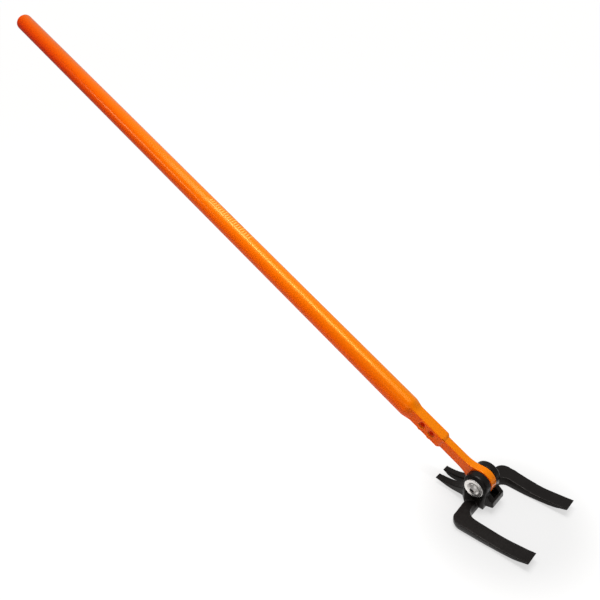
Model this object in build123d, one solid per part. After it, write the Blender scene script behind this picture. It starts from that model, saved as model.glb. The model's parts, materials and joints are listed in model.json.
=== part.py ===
from build123d import *
import os
from math import cos, radians

# Articulating deck-board and pallet breaker: a forged two-tine head with a
# rear nail claw, pinned in a clevis to a long steel tube handle.
#
# Frame: +Z up, +X towards the tine tips, Y across the head (left is +Y). The
# origin is the centre of the heel's flat underside, straight below the pivot.
# Parts are drawn about the pivot axis, then posed. Millimetres, degrees.

# ---------------------------------------------------------------- dimensions
PIVOT_H = 36.0            # pivot axis above the heel's flat underside
HANDLE_ANGLE = 27.1       # handle above horizontal, leaning back, at rest
OVERCUT = 1.0             # how far cutters and blanks run past a surface
THROUGH = 40.0            # half length of the through-hole cutters

# handle tube, measured along the handle from the pivot axis
TUBE_R = 16.0
TUBE_WALL = 2.5
TUBE_BORE = TUBE_R - TUBE_WALL
TUBE_END = 1176.0         # upper end of the tube
ROUND_START = 138.0       # lower end of the round part
SWAGE_START = 121.0       # top of the swaged rectangular socket
SOCKET_MOUTH = 71.8       # lower end of the socket's flats
SOCKET_LIP = 3.4          # lip that slopes in to the rod below the flats
LIP_MARGIN = 0.7          # lip end's width and height over the rod's
LIP_CORNER = 0.3          # lip end's corner radius over the rod's
SOCKET_W = 17.8           # socket across the head (Y)
SOCKET_H = 20.9           # socket across the other way
SOCKET_R = 1.7            # socket outer corner radius
NECK_STEPS = 5            # loft spans in the neck
NECK_OVERLAP = 0.6        # neck's first section lies this far inside the round part
NECK_INSET = 0.1          # and is this much smaller in diameter

# end cap
CAP_T = 2.0
CAP_R = 15.9
CAP_EDGE = 0.9
CAP_SHANK = 18.0
CAP_WALL = 2.0            # shank wall, and floor under the cap

# forged rod end
ROD_W = 12.1              # across the head, same as the eye thickness
ROD_H = 16.2
ROD_TOP = 132.0           # end of the tang inside the tube
EYE_R = 18.5
EYE_BLEND = 45.0          # flare from rod into eye
ROD_EDGE = 1.0

# hollow cross pins through socket and tang
PIN_R = 4.6
PIN_BORE = 3.5
PIN_SET = 1.7             # pin ends below the socket's sides
PIN_LEN = SOCKET_W - 2 * PIN_SET
PIN_EDGE = 0.4
PIN_POS = (88.4, 105.4)
PIN_RISE = 1.2            # above the tang's centre line
PIN_MOUTH = 1.1           # countersink at the pin holes' mouths
BURR_HALF = 4.4           # raised burrs by the pins: half length
BURR_R = 2.45

# pivot bolt, washers and bush
BOLT_R = 5.0              # M10 shank
BOLT_HEAD_R = 8.5
BOLT_HEAD_H = 4.8
BOLT_RIM = 0.9            # straight rim under the dome
BOLT_LEN = 45.0
BOLT_END = 0.8            # chamfer on the shank's end
HEX_AF = 6.0
HEX_DEPTH = 3.3
BUSH_R = 7.0              # pressed in the eye
BUSH_BORE = BOLT_R + 0.05  # running clearance
FRICTION_R = 16.0
FRICTION_BORE = 7.2
FRICTION_T = 0.9
WASHER_R = 13.5
WASHER_BORE = 5.25
WASHER_T = 1.6
WASHER_EDGE = 0.4

# lock nut, let into a hex pocket in the left ear
NUT_AF = 17.0
NUT_H = 8.4
NUT_COLLAR = 2.4          # collar height
COLLAR_R = NUT_AF / 2 - 0.9
COLLAR_EDGE = 0.7
COLLAR_BORE = 5.8         # opening over the insert
NUT_CHAMFER = 1.1         # on the hex corners
INSERT_R = 6.7
INSERT_T = 1.5
INSERT_COVER = 0.7        # collar above the insert
POCKET_AF = 17.3
POCKET_DEPTH = 8.6

# head casting, X and Z from the pivot axis
SLOT = 7.0                # half width between the ears
EAR_OUT = 19.8            # outer faces of the ears
EAR_R = 18.0
EAR_EDGE = 4.0
BOSS_R = 13.7             # raised seat for the bolt's washer on the right ear
BOSS_H = 1.4
EAR_BORE = 5.1
SLOT_FRONT = 24.0         # front wall of the slot
SLOT_FLOOR = -22.0
BRIDGE_W = 15.0           # half width of the front bridge
BRIDGE_EDGE = 1.4
WEB_W = 8.0               # half width of the web between the prongs
ARM_TOP = -24.0
HEEL = -PIVOT_H           # underside
PARTING = -30.4           # parting line round the arms and tines
GAP_TOP = 47.3            # half gap between tines at their top
GAP_BOT = 44.3            # half gap between tines at their underside
OUT_TOP = 68.2            # outer side of the arms, top and underside
OUT_BOT = 65.0
TIP_X = 102.2
CLAW_X = -61.9

# Y stations along the pivot
Y_SEAT = -EAR_OUT - BOSS_H          # right ear's boss face
Y_FACE = Y_SEAT - WASHER_T          # underside of the bolt head
Y_NUT = EAR_OUT - POCKET_DEPTH      # pocket floor
Y_COLLAR = Y_NUT + NUT_H - NUT_COLLAR
Y_INSERT = Y_NUT + NUT_H - INSERT_COVER - INSERT_T

# Arm and tine outlines on the left: height, then (x, y) points in order from
# the root at the rear, out round the arm, along the tine to its tip, back
# along its inner side and in to the root at the front. Points 2 and 9
# (counting from 0) are the middles of arcs.
ROOT_Y = 10.0
BLANK_X = TIP_X + OVERCUT
FORK_OUTLINES = [
    (ARM_TOP + 2.0, [
        (-8.8, ROOT_Y), (-6.6, 53.5), (-2.7, 64.4), (7.0, OUT_TOP), (45.0, 66.8),
        (BLANK_X, 66.1), (BLANK_X, 44.9),
        (60.0, 46.7), (19.9, GAP_TOP), (8.6, 42.6), (3.9, 31.3), (3.6, ROOT_Y)]),
    (PARTING, [
        (-9.0, ROOT_Y), (-6.8, 52.2), (-3.2, 63.6), (7.4, 67.6), (45.0, 66.4),
        (BLANK_X, 66.0), (BLANK_X, 44.2),
        (60.0, 44.3), (19.4, 44.5), (11.0, 41.0), (7.4, 32.8), (7.2, ROOT_Y)]),
    (HEEL - 2.0, [
        (-8.0, ROOT_Y), (-5.2, 51.5), (-1.6, 61.3), (7.6, OUT_BOT), (45.0, 64.5),
        (BLANK_X, 65.0), (BLANK_X, 43.9),
        (60.0, 43.9), (19.3, GAP_BOT), (11.6, 41.0), (8.4, 33.3), (8.2, ROOT_Y)]),
]

# Side profile of arm and tine, (x, z): top towards the tip, underside back
TINE_REAR = -20.0
TINE_TOP = [
    (18.0, ARM_TOP), (28.0, -25.3), (40.0, -26.3), (50.0, -27.0), (58.0, -27.3),
    (66.0, -27.0), (76.0, -25.9), (86.0, -24.7), (94.0, -23.8), (TIP_X, -22.8)]
TINE_UNDER = [
    (TIP_X, -23.8), (98.0, -25.8), (90.0, -28.9), (80.0, -31.6),
    (70.0, -33.2), (60.0, -34.3), (50.0, -35.3), (38.0, HEEL)]

# Left claw prong, sections across X: x, inner y, outer y, top z,
# thickness at the outer side, thickness at the inner side
CLAW = [
    (CLAW_X, 4.7, 15.2, -25.9, 1.0, 1.1),
    (-56.0, 4.5, 14.9, -25.5, 2.9, 4.4),
    (-50.0, 4.3, 14.9, -25.0, 4.9, 7.6),
    (-42.0, 4.1, 15.2, -24.0, 6.9, 9.2),
    (-33.0, 4.0, 16.2, -21.8, 8.6, 10.8),
    (-24.0, 4.2, 17.6, -17.9, 10.6, 14.0),
    (-17.0, 4.6, 18.9, -13.6, 13.6, 18.6),
    (-10.0, 5.0, 19.4, -9.0, 19.0, 24.0)]

# Gusset in the corner between ear, arm root and prong root: height, (x, y) points
GUSSET = [
    (-26.0, [(-15.0, 12.0), (-15.4, 20.8), (-8.6, 28.2), (4.2, 19.3), (4.2, 12.0)]),
    (-9.0, [(-15.5, 12.0), (-16.6, 18.1), (-13.0, 19.1), (-9.0, 19.6), (-9.0, 12.0)])]

# Bridge and web side outlines (x, z), block outline seen along X (y, z)
BRIDGE = [(8.0, -1.0), (26.4, -15.9), (27.2, -25.3), (8.0, -30.5)]
WEB = [(-12, -27.5), (-24.5, -28.5), (-28.5, -31.5), (-28.5, -34.0), (-24.0, HEEL), (-12, HEEL)]
BLOCK_END = [
    (-EAR_OUT, 40), (-EAR_OUT, -30.8), (-16.0, HEEL), (16.0, HEEL),
    (EAR_OUT, -30.8), (EAR_OUT, 40)]


# ------------------------------------------------------------------- helpers
def plane_at_x(x):
    """Plane facing +X; its x is across the head, its y is up."""
    return Plane(origin=(x, 0, 0), x_dir=(0, 1, 0), z_dir=(1, 0, 0))


def along(distance):
    """Plane across the handle at a distance from the pivot, facing the pivot."""
    return plane_at_x(-distance)


def plane_at_y(y, x=0.0, z=0.0):
    """Plane facing +Y."""
    return Plane(origin=(x, y, z), x_dir=(1, 0, 0), z_dir=(0, 1, 0))


def polygon(points):
    return make_face(Polyline(*points, close=True))


def slab(outline, y_start, y_end):
    """Extrude a closed XZ outline along Y."""
    plane = Plane(origin=(0, y_start, 0), x_dir=(1, 0, 0), z_dir=(0, -1, 0))
    return extrude(plane * outline, -(y_end - y_start))


def cyl_y(radius, y_start, y_end, x=0.0, z=0.0):
    return extrude(plane_at_y(y_start, x, z) * Circle(radius), y_end - y_start)


def hole_y(radius, x=0.0, z=0.0):
    """Cutter for a through hole along Y."""
    return cyl_y(radius, -THROUGH, THROUGH, x, z)


def hex_y(across_flats, y_start, length):
    hexagon = RegularPolygon(across_flats / 2, 6, major_radius=False)
    return extrude(plane_at_y(y_start) * hexagon, length)


def lift(shape):
    return Pos(0, 0, PIVOT_H) * shape


def pose(shape):
    """Handle parts are drawn lying back along -X and then tipped up."""
    return Pos(0, 0, PIVOT_H) * Rot(0, HANDLE_ANGLE, 0) * shape


# -------------------------------------------------------------------- handle
def tube_body(radius, width, height, corner, low_end, high_end, round_start, swage_start):
    """Round bar that necks down to a rounded rectangle at its lower end."""
    neck_d = 2 * radius - NECK_INSET
    neck_top = round_start + NECK_OVERLAP
    sections = []
    for i in range(NECK_STEPS + 1):
        t = i / NECK_STEPS
        ease = t * t * (3 - 2 * t)
        w = neck_d + (width - neck_d) * ease
        h = neck_d + (height - neck_d) * ease
        r = (neck_d / 2) * (1 - ease) + corner * ease
        r = min(r, min(w, h) / 2 - 0.03)      # a rounded rectangle needs short flats
        place = along(neck_top + (swage_start - neck_top) * t)
        sections.append(place * RectangleRounded(w, h, r))
    neck = loft(sections)
    socket = extrude(along(swage_start) * RectangleRounded(width, height, corner),
                     swage_start - low_end)
    bar = extrude(along(high_end) * Circle(radius), high_end - round_start)
    return bar + neck + socket


def make_handle_tube():
    lip_end = SOCKET_MOUTH - SOCKET_LIP
    outer = tube_body(TUBE_R, SOCKET_W, SOCKET_H, SOCKET_R,
                      SOCKET_MOUTH, TUBE_END, ROUND_START, SWAGE_START)
    inner = tube_body(TUBE_BORE, ROD_W, ROD_H, ROD_EDGE,
                      lip_end - OVERCUT, TUBE_END + OVERCUT,
                      ROUND_START + 1, SWAGE_START + 1)
    outer += loft([
        along(SOCKET_MOUTH + 0.01) * RectangleRounded(SOCKET_W, SOCKET_H, SOCKET_R),
        along(lip_end) * RectangleRounded(ROD_W + LIP_MARGIN, ROD_H + LIP_MARGIN,
                                          ROD_EDGE + LIP_CORNER)])
    # burrs centred on the socket's lower corner arcs
    for s in PIN_POS:
        for side in (-1, 1):
            burr = scale(Sphere(1.0), by=(BURR_HALF, BURR_R, BURR_R))
            outer += Pos(-s, side * (SOCKET_W / 2 - SOCKET_R), -(SOCKET_H / 2 - SOCKET_R)) * burr
    tube = outer - inner
    for s in PIN_POS:
        tube -= hole_y(PIN_R, -s, PIN_RISE)
        for side in (-1, 1):
            mouth = Cone(PIN_R + PIN_MOUTH, PIN_R, PIN_MOUTH,
                         align=(Align.CENTER, Align.CENTER, Align.MIN))
            tube -= Pos(-s, side * (SOCKET_W / 2 + 0.001), PIN_RISE) * Rot(side * 90, 0, 0) * mouth
    return tube


def make_end_cap():
    cap = extrude(along(TUBE_END + CAP_T) * Circle(CAP_R), CAP_T)
    cap = fillet(cap.edges().group_by(Axis.X)[0], CAP_EDGE)
    shank = extrude(along(TUBE_END) * Circle(TUBE_BORE), CAP_SHANK)
    hollow = extrude(along(TUBE_END - CAP_WALL) * Circle(TUBE_BORE - CAP_WALL), CAP_SHANK)
    return cap + (shank - hollow)


def make_rod_end():
    profile = Circle(EYE_R) + Pos(-ROD_TOP / 2, 0) * Rectangle(ROD_TOP, ROD_H)
    corners = [v for v in profile.vertices() if -EYE_R - 1 < v.X < -5]
    profile = fillet(corners, EYE_BLEND)
    rod = slab(profile, -ROD_W / 2, ROD_W / 2)
    # side-face edges of the rod, leaving the eye sharp
    edges = [e for e in rod.edges()
             if abs(abs(e.center().Y) - ROD_W / 2) < 1e-6 and e.center().X < -30]
    rod = fillet(edges, ROD_EDGE)
    rod -= hole_y(BUSH_R)
    for s in PIN_POS:
        rod -= hole_y(PIN_R, -s, PIN_RISE)
    return rod


def make_tang_pin(s):
    pin = cyl_y(PIN_R, -PIN_LEN / 2, PIN_LEN / 2, -s, PIN_RISE)
    pin = chamfer(pin.edges().filter_by(GeomType.CIRCLE), PIN_EDGE)
    return pin - hole_y(PIN_BORE, -s, PIN_RISE)


# --------------------------------------------------------------- pivot stack
def make_eye_bush():
    return cyl_y(BUSH_R, -ROD_W / 2, ROD_W / 2) - hole_y(BUSH_BORE)


def make_friction_washer(side):
    y_start, y_end = sorted((side * SLOT, side * (SLOT - FRICTION_T)))
    return cyl_y(FRICTION_R, y_start, y_end) - hole_y(FRICTION_BORE)


def make_bolt_washer():
    washer = cyl_y(WASHER_R, Y_FACE, Y_SEAT) - hole_y(WASHER_BORE)
    rims = (washer.edges().filter_by(GeomType.CIRCLE)
            .filter_by(lambda e: e.radius > WASHER_R - 0.1))
    return chamfer(rims, WASHER_EDGE)


def make_pivot_bolt():
    """Button head, a spherical cap over a short rim, with a hex socket."""
    y_top = Y_FACE - BOLT_HEAD_H
    dome_h = BOLT_HEAD_H - BOLT_RIM
    dome_r = (BOLT_HEAD_R ** 2 + dome_h ** 2) / (2 * dome_h)
    head = cyl_y(BOLT_HEAD_R, y_top, Y_FACE) & (Pos(0, y_top + dome_r, 0) * Sphere(dome_r))
    shaft = cyl_y(BOLT_R, Y_FACE, Y_FACE + BOLT_LEN)
    shaft = chamfer(shaft.edges().group_by(Axis.Y)[-1], BOLT_END)
    return head + shaft - hex_y(HEX_AF, y_top - OVERCUT, HEX_DEPTH + OVERCUT)


def make_lock_nut():
    nut = hex_y(NUT_AF, Y_NUT, Y_COLLAR - Y_NUT)
    blank = cyl_y(NUT_AF / 2 / cos(radians(30)), Y_NUT, Y_COLLAR)
    blank = chamfer(blank.edges().filter_by(GeomType.CIRCLE), NUT_CHAMFER)
    nut = (nut & blank) + cyl_y(COLLAR_R, Y_COLLAR, Y_NUT + NUT_H)
    nut = fillet(nut.edges().group_by(Axis.Y)[-1], COLLAR_EDGE)
    nut = nut - hole_y(BOLT_R) - cyl_y(INSERT_R, Y_INSERT, Y_INSERT + INSERT_T)
    return nut - cyl_y(COLLAR_BORE, Y_INSERT, Y_NUT + NUT_H + OVERCUT)


def make_nut_insert():
    return cyl_y(INSERT_R, Y_INSERT, Y_INSERT + INSERT_T) - hole_y(BOLT_R)


# -------------------------------------------------------------- head casting
def make_block():
    """Ears and base in one, round-topped; the slot is cut later."""
    with BuildSketch() as ear:
        with BuildLine():
            Polyline((EAR_R, 0), (17.4, -10), (14.3, HEEL), (-14.2, HEEL),
                     (-15.4, -25.5), (-EAR_R, 0))
            ThreePointArc((-EAR_R, 0), (0, EAR_R), (EAR_R, 0))
        make_face()
    block = slab(ear.sketch, -EAR_OUT, EAR_OUT)
    block &= extrude(plane_at_x(-40) * polygon(BLOCK_END), 80)
    edges = [e for e in block.edges()
             if abs(abs(e.center().Y) - EAR_OUT) < 1e-6 and e.center().Z > -29]
    return fillet(edges, EAR_EDGE)


def make_bridge():
    """Closes the slot ahead of the eye."""
    bridge = slab(polygon(BRIDGE), -BRIDGE_W, BRIDGE_W)
    return fillet([e for e in bridge.edges() if e.center().X > 10], BRIDGE_EDGE)


def fork_face(z, points):
    with BuildLine(Plane(origin=(0, 0, z))) as outline:
        Line(points[0], points[1])
        ThreePointArc(*points[1:4])
        for i in range(3, 8):
            Line(points[i], points[i + 1])
        ThreePointArc(*points[8:11])
        Line(points[10], points[11])
        Line(points[11], points[0])
    return make_face(outline.line)


def make_fork():
    """Left arm and tine, ruled to the parting line and on to the underside so
    that the sides carry casting draft both ways, then cut to the side profile."""
    top, middle, bottom = [fork_face(z, points) for z, points in FORK_OUTLINES]
    blank = loft([top, middle], ruled=True) + loft([middle, bottom], ruled=True)
    with BuildSketch() as profile:
        with BuildLine():
            Line((TINE_REAR, ARM_TOP), TINE_TOP[0])
            Spline(*TINE_TOP)
            Line(TINE_TOP[-1], TINE_UNDER[0])
            Spline(*TINE_UNDER, tangents=((-0.8, -0.6), (-1, 0)))
            Polyline(TINE_UNDER[-1], (TINE_REAR, HEEL), (TINE_REAR, ARM_TOP))
        make_face()
    return blank & slab(profile.sketch, 0, 80)


def make_prong():
    return loft([
        plane_at_x(x) * polygon([(y_in, top), (y_out, top),
                                 (y_out, top - t_out), (y_in, top - t_in)])
        for x, y_in, y_out, top, t_out, t_in in CLAW])


def make_gusset():
    return loft([Plane(origin=(0, 0, z)) * polygon(points) for z, points in GUSSET], ruled=True)


def make_slot():
    """Room for the eye, open at the top and at the back."""
    with BuildSketch() as slot:
        with BuildLine():
            Line((SLOT_FRONT, 30), (SLOT_FRONT, -15))
            ThreePointArc((SLOT_FRONT, -15), (21.95, -19.95), (17.0, SLOT_FLOOR))
            Polyline((17.0, SLOT_FLOOR), (-16.0, SLOT_FLOOR), (-22.0, -17.0),
                     (-40.0, -10.0), (-40.0, 30), (SLOT_FRONT, 30))
        make_face()
    return slab(slot.sketch, -SLOT, SLOT)


def make_head_casting():
    half = make_fork() + make_prong() + make_gusset()
    web = slab(polygon(WEB), -WEB_W, WEB_W)
    casting = make_block() + make_bridge() + half + mirror(half, Plane.XZ) + web
    casting -= make_slot()
    casting += cyl_y(BOSS_R, Y_SEAT, -EAR_OUT + 0.5)
    casting -= hole_y(EAR_BORE)
    # hex pocket that keeps the lock nut from turning
    casting -= hex_y(POCKET_AF, Y_NUT, 20)
    return casting


# -------------------------------------------------------------------- export
parts = {
    "handle_tube": pose(make_handle_tube()),
    "end_cap": pose(make_end_cap()),
    "rod_end": pose(make_rod_end()),
    "tang_pins": Compound([pose(make_tang_pin(s)) for s in PIN_POS]),
    "eye_bush": pose(make_eye_bush()),
    "head_casting": lift(make_head_casting()),
    "friction_washers": Compound([lift(make_friction_washer(side)) for side in (-1, 1)]),
    "bolt_washer": lift(make_bolt_washer()),
    "pivot_bolt": lift(make_pivot_bolt()),
    "lock_nut": lift(make_lock_nut()),
    "nut_insert": lift(make_nut_insert()),
}
os.makedirs("parts", exist_ok=True)
for name, shape in parts.items():
    export_step(shape, "parts/" + name + ".step")
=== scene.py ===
# A long orange tube handle hinged to a black cast head, with a scale printed on the tube.
# Metres, +Z up. The hinge pin lies along Y; the handle climbs from it towards -X, in the
# XZ plane, and the head lies along X under the hinge.
import bpy, bmesh, json, math
from mathutils import Matrix, Vector


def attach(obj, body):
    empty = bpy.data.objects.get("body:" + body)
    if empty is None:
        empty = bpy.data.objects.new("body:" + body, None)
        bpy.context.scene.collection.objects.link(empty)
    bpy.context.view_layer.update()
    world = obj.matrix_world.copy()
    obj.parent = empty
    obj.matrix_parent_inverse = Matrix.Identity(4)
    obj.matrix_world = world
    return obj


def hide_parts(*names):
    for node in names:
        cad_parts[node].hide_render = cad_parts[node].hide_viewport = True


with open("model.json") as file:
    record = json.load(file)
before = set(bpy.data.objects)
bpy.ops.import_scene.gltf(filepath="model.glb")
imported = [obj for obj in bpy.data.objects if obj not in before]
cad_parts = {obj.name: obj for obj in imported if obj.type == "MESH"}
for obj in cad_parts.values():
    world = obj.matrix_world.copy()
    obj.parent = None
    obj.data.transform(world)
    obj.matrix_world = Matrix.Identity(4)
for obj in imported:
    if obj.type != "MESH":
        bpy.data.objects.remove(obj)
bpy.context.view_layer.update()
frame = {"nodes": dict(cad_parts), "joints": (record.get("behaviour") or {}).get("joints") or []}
pieces = frame["nodes"]
scene = bpy.context.scene

PIVOT = Vector(frame["joints"][0]["pos_m"])
SLOPE = math.radians(27.1)
ALONG = Vector((-math.cos(SLOPE), 0.0, math.sin(SLOPE)))   # up the handle, away from the head
ACROSS = Vector((0, 1, 0))
ABOVE = Vector((math.sin(SLOPE), 0.0, math.cos(SLOPE)))    # the handle's upward side

TUBE_RADIUS = 0.016


# ------------------------------------------------------------------ node graphs
class Graph:
    """Short way of wiring a node tree."""

    def __init__(self, tree):
        self.tree = tree
        tree.nodes.clear()

    def new(self, kind):
        return self.tree.nodes.new("ShaderNode" + kind)

    def link(self, output, socket):
        self.tree.links.new(output, socket)

    def put(self, socket, value):
        """Link a socket, or set a plain value."""
        if isinstance(value, bpy.types.NodeSocket):
            self.link(value, socket)
        else:
            socket.default_value = value

    def remap(self, value, span, to, smooth=False):
        """Carry the span (low, high) onto the range to (low, high)."""
        node = self.new("MapRange")
        if smooth:
            node.interpolation_type = "SMOOTHSTEP"
        self.put(node.inputs[0], value)
        for i, limit in enumerate((*span, *to)):
            node.inputs[i + 1].default_value = limit
        return node.outputs[0]


class Shader(Graph):
    """A material with one Principled shader."""

    def __init__(self, name):
        self.mat = bpy.data.materials.new(name)
        self.mat.use_nodes = True
        super().__init__(self.mat.node_tree)
        self.out = self.new("OutputMaterial")
        self.bsdf = self.new("BsdfPrincipled")
        self.link(self.bsdf.outputs[0], self.out.inputs[0])
        texture = self.new("TexCoord")
        self.coord = texture.outputs["Object"]
        self.normal = texture.outputs["Normal"]

    def set(self, **values):
        for name, value in values.items():
            self.put(self.bsdf.inputs[name.replace("_", " ")], value)

    def math(self, operation, a, b=0.0):
        node = self.new("Math")
        node.operation = operation
        self.put(node.inputs[0], a)
        self.put(node.inputs[1], b)
        return node.outputs[0]

    def times(self, a, b):
        return self.math("MULTIPLY", a, b)

    def blend(self, a, a_weight, b, b_weight):
        return self.math("ADD", self.times(a, a_weight), self.times(b, b_weight))

    def dot(self, vector, origin, direction):
        """How far the vector reaches from the origin in a direction."""
        offset = self.new("VectorMath")
        offset.operation = "SUBTRACT"
        self.put(offset.inputs[0], vector)
        offset.inputs[1].default_value = origin
        node = self.new("VectorMath")
        node.operation = "DOT_PRODUCT"
        self.link(offset.outputs[0], node.inputs[0])
        node.inputs[1].default_value = direction
        return node.outputs["Value"]

    def combine(self, x, y, z):
        node = self.new("CombineXYZ")
        for socket, value in zip(node.inputs, (x, y, z)):
            self.put(socket, value)
        return node.outputs[0]

    def noise(self, scale, detail=3.0, rough=0.5, vector=None):
        node = self.new("TexNoise")
        self.put(node.inputs["Vector"], self.coord if vector is None else vector)
        node.inputs["Scale"].default_value = scale
        node.inputs["Detail"].default_value = detail
        node.inputs["Roughness"].default_value = rough
        return node.outputs[0]

    def voronoi(self, scale):
        node = self.new("TexVoronoi")
        self.put(node.inputs["Vector"], self.coord)
        node.inputs["Scale"].default_value = scale
        return node.outputs["Distance"]

    def mix(self, factor, first, second):
        node = self.new("Mix")
        node.data_type = "RGBA"
        self.put(node.inputs[0], factor)
        for socket, colour in ((node.inputs[6], first), (node.inputs[7], second)):
            is_socket = isinstance(colour, bpy.types.NodeSocket)
            self.put(socket, colour if is_socket else (*colour, 1.0))
        return node.outputs[2]

    def bump(self, height, strength, distance, normal=None):
        node = self.new("Bump")
        node.inputs["Strength"].default_value = strength
        node.inputs["Distance"].default_value = distance
        self.put(node.inputs["Height"], height)
        if normal is not None:
            self.put(node.inputs["Normal"], normal)
        return node.outputs[0]


# ------------------------------------------------------------------ materials
# Enamel colour painted lit and shaded by the way the surface faces: yellower where it faces up
# and to +Y, redder where it faces down and to -Y, with painted shade towards the far end of the
# handle. Each row holds the colours towards the head end and towards the far end of the handle.
LIT_AND_SHADED_ENAMEL = (
    ((0.78, 0.080, 0.0003), (0.62, 0.026, 0.0003)),        # facing down and to -Y
    ((0.59, 0.090, 0.0003), (0.50, 0.034, 0.0003)),        # between
    ((0.50, 0.124, 0.0003), (0.40, 0.060, 0.0003)),        # facing up and to +Y
)
ENAMEL_LIGHT_FACING = ABOVE * 0.647 + Vector((0, 0.763, 0))


def orange_paint():
    m = Shader("orange_enamel")
    station = m.dot(m.coord, PIVOT, ALONG)
    # painted shade: the enamel darkens and reddens towards the far end of the handle
    along = m.remap(station, span=(0.50, 1.20), to=(0.0, 1.0), smooth=True)
    cloud = m.noise(scale=9.0, detail=4.0, rough=0.6)
    # painted light and shade: the colour shifts with the way the surface faces the lamps
    facing = m.dot(m.normal, (0, 0, 0), ENAMEL_LIGHT_FACING)
    light_turn = m.remap(facing, span=(-0.65, 0.65), to=(0.0, 1.0))
    low, mid, high = [m.mix(along, head_end, far_end) for head_end, far_end in LIT_AND_SHADED_ENAMEL]
    base = m.mix(m.remap(light_turn, span=(0.0, 0.3), to=(0.0, 1.0)), low, mid)
    base = m.mix(m.remap(light_turn, span=(0.3, 1.0), to=(0.0, 1.0)), base, high)
    clouding = m.remap(cloud, span=(0.35, 0.7), to=(0.0, 0.10))
    base = m.mix(clouding, base, (0.60, 0.080, 0.0004))
    # fine flecks in the enamel
    fleck = m.noise(scale=2600.0, detail=2.0, rough=0.5)
    base = m.mix(m.remap(fleck, span=(0.62, 0.78), to=(0.0, 0.06)), base, (0.78, 0.20, 0.004))
    m.set(Base_Color=base, Metallic=0.0, IOR=1.5)
    gloss = m.noise(scale=140.0, detail=4.0, rough=0.6)
    m.set(Roughness=m.remap(gloss, span=(0.3, 0.7), to=(0.18, 0.24)))
    m.set(Specular_IOR_Level=0.24, Specular_Tint=(1.0, 0.78, 0.18, 1.0))
    # faint orange peel over marks drawn out along the tube
    peel = m.noise(scale=60.0, detail=1.0, rough=0.40)
    lengthwise, crosswise = 6.0, 70.0                      # noise frequencies per metre
    stretched = m.combine(m.times(station, lengthwise),
                          m.times(m.dot(m.coord, PIVOT, ACROSS), crosswise),
                          m.times(m.dot(m.coord, PIVOT, ABOVE), crosswise))
    drawn = m.noise(scale=1.0, detail=1.0, rough=0.4, vector=stretched)
    relief = m.bump(drawn, strength=0.02, distance=0.0001)
    m.set(Normal=m.bump(peel, strength=0.04, distance=0.00006, normal=relief))
    return m.mat


def glowing_pin_paint():
    m = Shader("pin_enamel_glow")
    cloud = m.noise(scale=420.0, detail=4.0, rough=0.6)
    m.set(Base_Color=m.mix(cloud, (0.80, 0.055, 0.0004), (0.62, 0.035, 0.0004)), Metallic=0.0)
    m.set(Roughness=m.remap(cloud, span=(0.3, 0.7), to=(0.28, 0.42)), Specular_IOR_Level=0.2)
    # painted glow: a faint orange emission lights the pins inside their recesses, though no lamp
    # is there
    m.set(Emission_Color=(0.50, 0.030, 0.0, 1.0), Emission_Strength=0.10)
    m.set(Normal=m.bump(cloud, strength=0.2, distance=0.00005))
    return m.mat


def black_coat():
    """Near-black coat over a grainy casting, with a painted sheen that makes convex edges paler.
    """
    m = Shader("black_cast_coat")
    cast = m.noise(scale=620.0, detail=5.0, rough=0.62)
    pits = m.voronoi(scale=900.0)
    blot = m.noise(scale=38.0, detail=4.0, rough=0.6)
    edges = m.new("NewGeometry").outputs["Pointiness"]
    # painted sheen: convex edges are made paler, in patches
    edge_sheen = m.remap(edges, span=(0.52, 0.60), to=(0.0, 1.0))
    patches = m.remap(m.noise(scale=210.0), span=(0.42, 0.62), to=(0.15, 1.0))
    edge_sheen = m.times(edge_sheen, patches)
    base = m.mix(blot, (0.0026, 0.0021, 0.0019), (0.0052, 0.0043, 0.0039))
    base = m.mix(m.times(edge_sheen, 0.5), base, (0.020, 0.018, 0.017))
    m.set(Base_Color=base, Metallic=0.0, IOR=1.45)
    m.set(Specular_IOR_Level=0.135, Specular_Tint=(1.0, 0.93, 0.89, 1.0))
    gloss = m.blend(cast, 0.6, blot, 0.4)
    m.set(Roughness=m.remap(gloss, span=(0.35, 0.65), to=(0.28, 0.42)))
    grain = m.blend(cast, 0.75, pits, 0.25)
    waves = m.bump(m.noise(scale=95.0), strength=0.35, distance=0.0004)
    m.set(Normal=m.bump(grain, strength=0.5, distance=0.00016, normal=waves))
    return m.mat


def turned_metal(name, colour, rough, dark=(0.30, 0.28, 0.26)):
    """Metal with fine turning marks round the pivot axis and painted shade in its corners."""
    m = Shader(name)
    x = m.dot(m.coord, PIVOT, (1, 0, 0))
    z = m.dot(m.coord, PIVOT, (0, 0, 1))
    radius = m.math("SQRT", m.math("ADD", m.times(x, x), m.times(z, z)))
    angle = m.math("ARCTAN2", z, x)
    # close rings outwards, slow change round the axis
    polar = m.combine(m.times(radius, 5200.0), m.times(angle, 0.7), 0.0)
    rings = m.noise(scale=1.0, detail=3.0, rough=0.65, vector=polar)
    blot = m.noise(scale=260.0, detail=4.0, rough=0.6)
    base = m.mix(m.remap(blot, span=(0.40, 0.75), to=(0.0, 0.22)), colour, dark)
    ring_colour = tuple(c * 1.25 for c in colour)
    base = m.mix(m.remap(rings, span=(0.35, 0.7), to=(0.0, 0.25)), base, ring_colour)
    # painted shade: ambient occlusion darkens the metal towards near-black in its corners and
    # recesses
    occlusion = m.new("AmbientOcclusion")
    occlusion.inputs["Distance"].default_value = 0.0035
    occlusion.samples = 8
    recess_shade = m.remap(occlusion.outputs["AO"], span=(0.30, 0.70), to=(1.0, 0.0), smooth=True)
    base = m.mix(recess_shade, base, (0.012, 0.011, 0.010))
    m.set(Base_Color=base, Metallic=1.0)
    gloss = m.blend(rings, 0.5, blot, 0.5)
    m.set(Roughness=m.remap(gloss, span=(0.3, 0.7), to=(rough - 0.07, rough + 0.10)))
    m.set(Normal=m.bump(rings, strength=0.10, distance=0.00003))
    return m.mat


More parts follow.
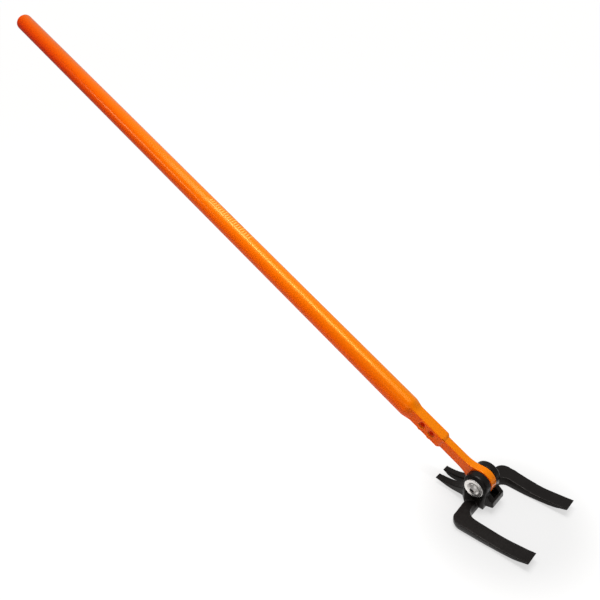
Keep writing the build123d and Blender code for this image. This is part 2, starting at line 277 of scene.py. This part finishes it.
def plastic(name, colour, rough):
    m = Shader(name)
    grain = m.noise(scale=900.0)
    mottle = m.remap(m.noise(scale=70.0, detail=4.0), span=(0.3, 0.7), to=(0.0, 0.4))
    m.set(Base_Color=m.mix(mottle, colour, tuple(c * 0.7 for c in colour)), Metallic=0.0)
    m.set(Roughness=m.remap(grain, span=(0.3, 0.7), to=(rough - 0.05, rough + 0.08)))
    m.set(Normal=m.bump(grain, strength=0.3, distance=0.00004))
    return m.mat


def print_ink():
    m = Shader("pale_print")
    grain = m.noise(scale=1500.0, detail=3.0, rough=0.6)
    thin = m.remap(grain, span=(0.5, 0.75), to=(0.0, 0.6))
    m.set(Base_Color=m.mix(thin, (0.66, 0.30, 0.050), (0.62, 0.20, 0.020)), Metallic=0.0)
    m.set(Roughness=m.remap(grain, span=(0.3, 0.7), to=(0.35, 0.5)))
    m.set(Specular_IOR_Level=0.3)
    m.set(Normal=m.bump(grain, strength=0.2, distance=0.00003))
    return m.mat


def dress(obj, material):
    """Make this the only material of the object."""
    obj.data.materials.clear()
    obj.data.materials.append(material)


ORANGE = orange_paint()
BLACK = black_coat()
ZINC = turned_metal("bright_zinc", colour=(0.56, 0.54, 0.52), rough=0.33)
NUT_ZINC = turned_metal("nut_zinc", colour=(0.62, 0.60, 0.56), rough=0.30)
BOLT_STEEL = turned_metal("bolt_steel", colour=(0.50, 0.48, 0.46), rough=0.40)
BRONZE = turned_metal("bronze", colour=(0.55, 0.36, 0.17), rough=0.30, dark=(0.30, 0.18, 0.08))
ACETAL = plastic("black_acetal", colour=(0.03, 0.03, 0.032), rough=0.42)
NYLON = plastic("nylon", colour=(0.80, 0.82, 0.80), rough=0.38)
INK = print_ink()

FINISH = {
    "handle_tube": ORANGE, "end_cap": ORANGE, "rod_end": ORANGE, "tang_pins": glowing_pin_paint(),
    "eye_bush": BRONZE, "head_casting": BLACK, "friction_washers": ACETAL,
    "bolt_washer": ZINC, "pivot_bolt": BOLT_STEEL, "lock_nut": NUT_ZINC, "nut_insert": NYLON,
}
for piece_name, piece in pieces.items():
    dress(piece, FINISH[piece_name])


# -------------------------------------------------------------- mesh helpers
def mesh_object(name, verts, faces, material):
    mesh = bpy.data.meshes.new(name)
    mesh.from_pydata([tuple(v) for v in verts], [], faces)
    mesh.validate()
    mesh.update()
    obj = bpy.data.objects.new(name, mesh)
    scene.collection.objects.link(obj)
    mesh.materials.append(material)
    return obj


def shade_smooth(obj):
    obj.data.polygons.foreach_set("use_smooth", [True] * len(obj.data.polygons))
    obj.data.update()


def apply_modifiers(obj):
    depsgraph = bpy.context.evaluated_depsgraph_get()
    mesh = bpy.data.meshes.new_from_object(obj.evaluated_get(depsgraph))
    obj.modifiers.clear()
    old = obj.data
    obj.data = mesh
    if old.users == 0:
        bpy.data.meshes.remove(old)


def outward_normals(obj):
    bm = bmesh.new()
    bm.from_mesh(obj.data)
    bmesh.ops.recalc_face_normals(bm, faces=bm.faces)
    bm.to_mesh(obj.data)
    bm.free()


def boolean(obj, other, operation):
    """Join or cut with another body, which is used up."""
    outward_normals(other)
    modifier = obj.modifiers.new("bool", "BOOLEAN")
    modifier.operation = operation
    modifier.solver = "EXACT"
    modifier.object = other
    apply_modifiers(obj)
    bpy.data.objects.remove(other)


def revolve(name, profile, origin, axis, side, segments=48):
    """A closed body of revolution; profile is (distance along axis, radius) end to end."""
    up = axis.cross(side)
    verts, faces = [], []
    for distance, radius in profile:
        for k in range(segments):
            a = 2 * math.pi * k / segments
            verts.append(origin + axis * distance + side * (radius * math.cos(a))
                         + up * (radius * math.sin(a)))
    for i in range(len(profile) - 1):
        here, there = i * segments, (i + 1) * segments
        for k in range(segments):
            after = (k + 1) % segments
            faces.append((here + k, here + after, there + after, there + k))
    faces.append(tuple(range(segments))[::-1])
    faces.append(tuple((len(profile) - 1) * segments + k for k in range(segments)))
    return mesh_object(name, verts, faces, ORANGE)


def handle_point(s, y, w):
    """The point s along the handle from the pivot, y across and w above its axis."""
    return PIVOT + ALONG * s + ACROSS * y + ABOVE * w


# --------------------------------------------------- cast head, edges softened
VOXEL = 0.0005
TIP_X = (-0.0585, 0.0985)      # outside these the thin fork and claw tips begin
TIP_FADE = 0.006               # length over which the smoothing fades out
TIP_WEIGHT = 0.12              # smoothing left at the tips, so they keep square ends


def soft_head():
    head = bpy.data.objects.new("head_casting_soft", pieces["head_casting"].data.copy())
    scene.collection.objects.link(head)
    remesh = head.modifiers.new("remesh", "REMESH")
    remesh.mode = "VOXEL"
    remesh.voxel_size = VOXEL
    remesh.adaptivity = 0.0
    apply_modifiers(head)
    group = head.vertex_groups.new(name="soft")
    for vert in head.data.vertices:
        x = vert.co.x
        inside = min(1.0, max(0.0, (TIP_X[1] - x) / TIP_FADE),
                     max(0.0, (x - TIP_X[0]) / TIP_FADE))
        group.add([vert.index], TIP_WEIGHT + (1 - TIP_WEIGHT) * inside, "REPLACE")
    soften = head.modifiers.new("soften", "SMOOTH")
    soften.factor = 0.5
    soften.iterations = 14
    soften.vertex_group = "soft"
    apply_modifiers(head)
    dress(head, BLACK)
    shade_smooth(head)
    return head


head = soft_head()
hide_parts("head_casting")
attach(head, "head")

# ------------------------------------- handle tube, swaged neck and socket
# Widths are across (Y), heights along ABOVE, stations along the handle from the pivot.
BORE_RADIUS = 0.0135
SOCKET_W, SOCKET_H, SOCKET_CORNER = 0.0178, 0.0209, 0.0017
ROD_W, ROD_H = 0.0121, 0.0162
BORE_GAP, BORE_CORNER = 0.0001, 0.0010   # the socket's bore round the rod
LIP_GAP = 0.0007                         # the lip's outer edge over the rod
LIP, MOUTH, END = 0.0684, 0.0718, 1.1760
NECK_SOCKET, NECK_ROUND = 0.1210, 0.1380  # the neck turns from socket section to round
BORE_NECK_SHIFT = 0.001
LIP_STEPS = 5
LIP_EASE = 0.00006                       # taken off the lip's size towards the mouth
# the eased edge above the lip: (distance past the mouth, change in width and height)
MOUTH_EDGE = ((0.0, -0.00045), (0.0004, -0.00018), (0.0009, -0.00004), (0.0016, 0.0))

PIN_STATIONS = (0.0884, 0.1054)
PIN_RISE = 0.0012                        # hole centres above the handle's axis
PIN_RADIUS, PIN_MOUTH_RADIUS = 0.0046, 0.0057
PIN_CHAMFER = 0.0011
CUT_OVERRUN = 0.001
BURR_HALF, BURR_RADIUS = 0.0044, 0.00245
BURR_STEPS = 12


def rounded_rect_radius(angle, width, height, corner):
    """Distance from the centre to a rounded rectangle, at an angle from its height axis."""
    ca, sa = abs(math.cos(angle)), abs(math.sin(angle))
    half_w, half_h = width / 2, height / 2
    reach = min(half_h / ca if ca > 1e-9 else 9.0, half_w / sa if sa > 1e-9 else 9.0)
    corner_x, corner_y = half_w - corner, half_h - corner
    if sa * reach > corner_x and ca * reach > corner_y:    # the ray meets a corner arc
        b = sa * corner_x + ca * corner_y
        c = corner_x * corner_x + corner_y * corner_y - corner * corner
        reach = b + math.sqrt(max(0.0, b * b - c))
    return reach


def ring_angles(width, height, corner, corner_steps=9, flat_step=4.0):
    """Angles that resolve the rounded corners finely and the flats evenly."""
    half_w, half_h = width / 2, height / 2
    start = math.atan2(half_w - corner, half_h)
    stop = math.atan2(half_w, half_h - corner)
    quarter = []
    for a, b, steps in ((0.0, start, None), (start, stop, corner_steps),
                        (stop, math.pi / 2, None)):
        steps = steps or max(2, int(math.degrees(b - a) / flat_step) + 1)
        quarter += [a + (b - a) * i / steps for i in range(steps)]
    mirrored = [math.pi / 2] + quarter[:0:-1]
    return (quarter + [math.pi - a for a in mirrored]
            + [math.pi + a for a in quarter] + [2 * math.pi - a for a in mirrored])


def tube_rings(stations, round_radius, width, height, corner, neck_shift=0.0):
    """Rings of points, round above the neck and easing to a rounded rectangle below it.

    Each station is (place along the handle, change in width, change in height).
    """
    angles = ring_angles(SOCKET_W, SOCKET_H, SOCKET_CORNER)
    rings = []
    for s, grow_w, grow_h in stations:
        t = (NECK_ROUND + neck_shift - s) / (NECK_ROUND - NECK_SOCKET)
        t = min(1.0, max(0.0, t))
        square = t * t * (3 - 2 * t)
        ring = []
        for a in angles:
            rect = rounded_rect_radius(a, width + grow_w, height + grow_h, corner)
            radius = round_radius * (1 - square) + rect * square
            ring.append(handle_point(s, radius * math.sin(a), radius * math.cos(a)))
        rings.append(ring)
    return rings


def outer_stations(neck):
    lip_w = ROD_W + LIP_GAP - SOCKET_W
    lip_h = ROD_H + LIP_GAP - SOCKET_H
    stations = []
    for k in range(LIP_STEPS):                             # sloped lip
        q = k / LIP_STEPS
        stations.append((LIP + (MOUTH - LIP) * q, lip_w * (1 - q) - LIP_EASE * q,
                         lip_h * (1 - q) - LIP_EASE * q))
    stations += [(MOUTH + past, grow, grow) for past, grow in MOUTH_EDGE]
    socket = [0.0760 + 0.0030 * i for i in range(15)]
    barrel = [NECK_ROUND + 0.004, NECK_ROUND + 0.012]
    barrel += [0.17 + (END - 0.17) * i / 50 for i in range(51)]
    return stations + [(s, 0.0, 0.0) for s in socket + neck + barrel]


def tube_body():
    """The closed tube wall: outer skin, bore and the two end faces."""
    neck = [NECK_SOCKET + (NECK_ROUND - NECK_SOCKET) * i / 16 for i in range(17)]
    outer = tube_rings(outer_stations(neck), TUBE_RADIUS, SOCKET_W, SOCKET_H, SOCKET_CORNER)
    bore_places = [LIP, 0.085, 0.100, 0.115] + [s + BORE_NECK_SHIFT for s in neck]
    bore_places += [0.16, 0.5, 0.8, END]
    inner = tube_rings([(s, 0.0, 0.0) for s in bore_places], BORE_RADIUS,
                       ROD_W + BORE_GAP, ROD_H + BORE_GAP, BORE_CORNER, BORE_NECK_SHIFT)
    verts = [point for ring in outer + inner for point in ring]
    faces = []
    count = len(outer[0])
    first_bore, last_bore = len(outer), len(outer) + len(inner) - 1

    def join(a, b, flip):
        for j in range(count):
            after = (j + 1) % count
            quad = (a * count + j, a * count + after, b * count + after, b * count + j)
            faces.append(quad[::-1] if flip else quad)

    for i in range(first_bore - 1):
        join(i, i + 1, True)
    for i in range(first_bore, last_bore):
        join(i, i + 1, False)
    join(0, first_bore, False)
    join(first_bore - 1, last_bore, True)
    return mesh_object("handle_tube_soft", verts, faces, ORANGE)


def add_burrs(tube, station):
    """A low raised burr on each lower corner of the socket, beside a pin hole."""
    profile = []
    for i in range(BURR_STEPS + 1):
        a = math.pi * i / BURR_STEPS
        profile.append((-BURR_HALF * math.cos(a), BURR_RADIUS * max(0.03, math.sin(a))))
    for side in (-1, 1):
        centre = handle_point(station, side * (SOCKET_W / 2 - SOCKET_CORNER),
                              -(SOCKET_H / 2 - SOCKET_CORNER))
        boolean(tube, revolve("burr", profile, centre, ALONG, ACROSS, segments=28), "UNION")


def cut_pin_hole(tube, station):
    """A hole across the socket, chamfered at both mouths."""
    half = SOCKET_W / 2
    half_profile = [(half - PIN_CHAMFER, PIN_RADIUS), (half, PIN_MOUTH_RADIUS),
                    (half + CUT_OVERRUN, PIN_MOUTH_RADIUS + CUT_OVERRUN)]
    profile = [(-d, radius) for d, radius in reversed(half_profile)] + half_profile
    centre = handle_point(station, 0.0, PIN_RISE)
    boolean(tube, revolve("hole", profile, centre, ACROSS, ALONG), "DIFFERENCE")


tube = tube_body()
outward_normals(tube)
for station in PIN_STATIONS:
    add_burrs(tube, station)
    cut_pin_hole(tube, station)
dress(tube, ORANGE)
shade_smooth(tube)
tube.data.set_sharp_from_angle(angle=math.radians(33))
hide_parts("handle_tube")
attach(tube, "handle")

# ------------------------------------------------------- printed graduation
# Angles are degrees round the tube from its top, positive towards -Y.
INK_RADII = (TUBE_RADIUS - 0.0001, TUBE_RADIUS + 0.00006)  # underside, top of the ink
TICKS = 20
TICK_START, TICK_SPAN = 0.4975, 0.0980
TICK_HALF = 0.00085
TICK_END = 11.0
LONG_TICK, SHORT_TICK = -36.0, -16.0                       # where the ticks begin
LONG_EVERY = 4
LINE_ANGLES = (15.0, 19.0)
LINE_OVERHANG = 0.0015                                     # past the end ticks' centres


def ink_patch(verts, faces, s0, s1, a0, a1):
    """Add a thin closed patch of ink, s0..s1 along the tube and a0..a1 round it."""
    na = max(2, int((a1 - a0) / 4) + 1)
    ns = max(2, int((s1 - s0) / 0.004) + 1)
    base = len(verts)
    for radius in INK_RADII:
        for i in range(ns + 1):
            for j in range(na + 1):
                a = math.radians(a0 + (a1 - a0) * j / na)
                s = s0 + (s1 - s0) * i / ns
                verts.append(handle_point(s, -radius * math.sin(a), radius * math.cos(a)))

    def at(layer, i, j):
        return base + (layer * (ns + 1) + i) * (na + 1) + j

    for i in range(ns):
        for j in range(na):
            faces.append((at(1, i, j), at(1, i + 1, j), at(1, i + 1, j + 1), at(1, i, j + 1)))
            faces.append((at(0, i, j), at(0, i, j + 1), at(0, i + 1, j + 1), at(0, i + 1, j)))
    for i in range(ns):
        faces.append((at(0, i, 0), at(0, i + 1, 0), at(1, i + 1, 0), at(1, i, 0)))
        faces.append((at(0, i + 1, na), at(0, i, na), at(1, i, na), at(1, i + 1, na)))
    for j in range(na):
        faces.append((at(0, 0, j + 1), at(0, 0, j), at(1, 0, j), at(1, 0, j + 1)))
        faces.append((at(0, ns, j), at(0, ns, j + 1), at(1, ns, j + 1), at(1, ns, j)))


def scale_print():
    verts, faces = [], []
    ink_patch(verts, faces, TICK_START - LINE_OVERHANG, TICK_START + TICK_SPAN + LINE_OVERHANG,
              *LINE_ANGLES)
    for i in range(TICKS):
        s = TICK_START + i * (TICK_SPAN / (TICKS - 1))
        begin = LONG_TICK if i % LONG_EVERY == 0 else SHORT_TICK
        ink_patch(verts, faces, s - TICK_HALF, s + TICK_HALF, begin, TICK_END)
    return mesh_object("handle_scale_print", verts, faces, INK)


ink = scale_print()
shade_smooth(ink)
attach(ink, "handle")

# -------------------------------------------------------------------- stage
FLOOR_HALF = 30
# painted shadow: to the camera the floor is painted darker round the head, fading out between
# these radii
SHADOW_POOL_CENTRE = (0.045, -0.01, 0)      # the floor is darker to the camera round this point
SHADOW_POOL_SPAN = (0.060, 0.160)           # radii between which it brightens


def floor_material():
    """A glowing floor that answers camera, glossy and other rays differently: a painted shadow
    round the head for the camera, a painted reflection glow near the head for glossy rays.
    """
    m = Shader("floor")
    m.set(Roughness=0.9, Specular_IOR_Level=0.05)
    glow = m.new("Emission")
    glow.inputs[0].default_value = (1.0, 0.995, 0.99, 1.0)
    rays = m.new("LightPath").outputs
    squares = [m.math("POWER", m.dot(m.coord, SHADOW_POOL_CENTRE, axis), 2.0)
               for axis in ((1, 0, 0), (0, 1, 0))]
    distance = m.math("SQRT", m.math("ADD", *squares))
    far = m.remap(distance, span=SHADOW_POOL_SPAN, to=(0.0, 1.0), smooth=True)
    seen = m.mix(far, (0.15, 0.15, 0.15), (0.05, 0.05, 0.05))
    # painted reflection: reflections see the floor with a dimmer albedo than other rays
    bounce = m.mix(rays["Is Glossy Ray"], (0.62, 0.62, 0.62), (0.42, 0.42, 0.42))
    m.set(Base_Color=m.mix(rays["Is Camera Ray"], bounce, seen))
    # painted shadow: the camera sees the floor's glow weaker near the head
    seen_glow = m.remap(far, span=(0.0, 1.0), to=(0.62, 0.98))
    # painted reflection: near the head the floor glows in reflections only, fading out further
    # away
    painted_reflection_glow = m.remap(far, span=(0.0, 1.0), to=(0.95, 0.0))
    m.put(glow.inputs[1], m.blend(rays["Is Camera Ray"], seen_glow,
                                  rays["Is Glossy Ray"], painted_reflection_glow))
    both = m.new("AddShader")
    m.link(m.bsdf.outputs[0], both.inputs[0])
    m.link(glow.outputs[0], both.inputs[1])
    m.link(both.outputs[0], m.out.inputs[0])
    return m.mat


corners = [(x * FLOOR_HALF, y * FLOOR_HALF, 0) for x, y in ((-1, -1), (1, -1), (1, 1), (-1, 1))]
floor = mesh_object("floor", corners, [(0, 1, 2, 3)], floor_material())


def studio_world():
    """White surround: bright behind the object (+Y), dimmer behind the camera."""
    world = bpy.data.worlds.new("studio")
    scene.world = world
    world.use_nodes = True
    g = Graph(world.node_tree)
    output = g.new("OutputWorld")
    background = g.new("Background")
    g.link(background.outputs[0], output.inputs[0])
    facing = g.new("VectorMath")
    facing.operation = "DOT_PRODUCT"
    g.link(g.new("TexCoord").outputs["Generated"], facing.inputs[0])
    facing.inputs[1].default_value = (-0.25, 0.90, 0.10)
    strength = g.remap(facing.outputs["Value"], span=(-0.3, 0.9), to=(0.09, 0.62), smooth=True)
    g.link(strength, background.inputs[1])
    background.inputs[0].default_value = (1.0, 1.0, 1.0, 1.0)


def place(name, data, at, x, y, z):
    """Add an object at a point, with its own axes along x, y and z."""
    obj = bpy.data.objects.new(name, data)
    scene.collection.objects.link(obj)
    matrix = Matrix((x, y, z)).transposed().to_4x4()
    matrix.translation = Vector(at)
    obj.matrix_world = matrix
    return obj


def softbox(name, at, target, size, power, along=(1, 0, 0)):
    """A rectangular light facing its target, its first side turned towards along."""
    light = bpy.data.lights.new(name, "AREA")
    light.shape = "RECTANGLE"
    light.size, light.size_y = size
    light.energy = power
    z = (Vector(at) - Vector(target)).normalized()
    x = Vector(along)
    x = (x - z * x.dot(z)).normalized()
    place(name, light, at, x, z.cross(x), z)


studio_world()
# a broad box overhead with a brighter strip under it, a small box at -X -Y, a weak fill
softbox("overhead", at=(-0.15, 0.10, 1.75), target=(-0.15, 0.10, 0.0),
        size=(1.40, 1.20), power=32.0)
softbox("strip", at=(-0.15, 0.005, 1.62), target=(-0.15, 0.005, 0.0),
        size=(0.84, 0.10), power=15.5)
softbox("front_left", at=(-1.155, -0.905, 1.01), target=(-0.67, 0.0, 0.378),
        size=(0.50, 0.12), power=2.6, along=(-0.469, 0.142, 0.181))
softbox("fill", at=(0.9, -2.2, 1.1), target=(-0.1, 0.0, 0.1), size=(1.6, 1.2), power=13.0)

# ------------------------------------------------------------------- camera
lens = bpy.data.cameras.new("camera")
lens.sensor_width = 36.0
lens.lens = 37.5827
lens.clip_start, lens.clip_end = 0.01, 100.0
scene.camera = place("camera", lens, at=(0.268767, -0.596814, 0.684118),
                     x=(0.7257851, 0.6860098, -0.0512492),
                     y=(-0.3097743, 0.3924342, 0.8660458),
                     z=(0.6142278, -0.6126875, 0.4973311))

scene.view_settings.view_transform = "Standard"
scene.view_settings.look = "None"
